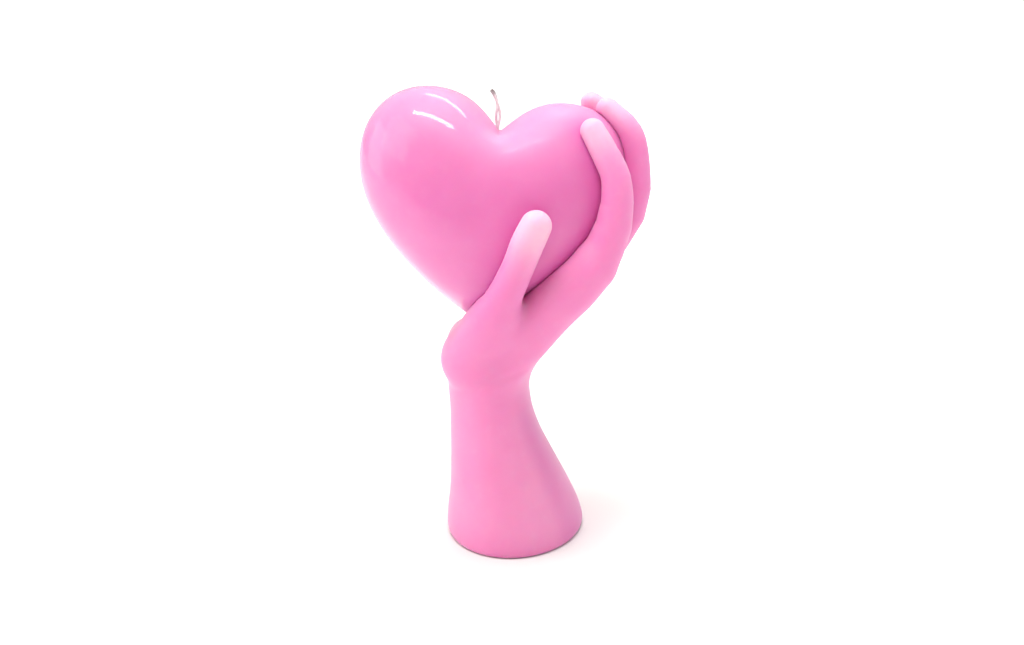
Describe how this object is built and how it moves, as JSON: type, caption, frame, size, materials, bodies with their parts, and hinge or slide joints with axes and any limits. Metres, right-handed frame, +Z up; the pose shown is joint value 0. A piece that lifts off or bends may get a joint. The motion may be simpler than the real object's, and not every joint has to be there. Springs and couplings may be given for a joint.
{
  "type": "sculpted candle",
  "caption": "Wax candle cast as a right hand on a flared forearm holding up a puffed heart, with a cotton wick rising from the cleft; it stands on its flat oval foot.",
  "frame": {"origin": "centre of the flat oval foot the candle stands on", "axes": "+X towards the side the fingers are on, +Y from the thumb towards the back, +Z up"},
  "size_m": [0.1305, 0.0912, 0.2088],
  "materials": {
    "hand_wax": "satin pink wax, softly translucent",
    "heart_wax": "smooth pink wax with a soft sheen, translucent",
    "wick_cotton": "twisted cotton plies, lightly waxed",
    "tab_metal": "tinned pressed sheet"
  },
  "bodies": {
    "root": {"hand": "hand_wax", "heart": "heart_wax", "wick": "wick_cotton", "wick_tab": "tab_metal"}
  },
  "joints": []
}
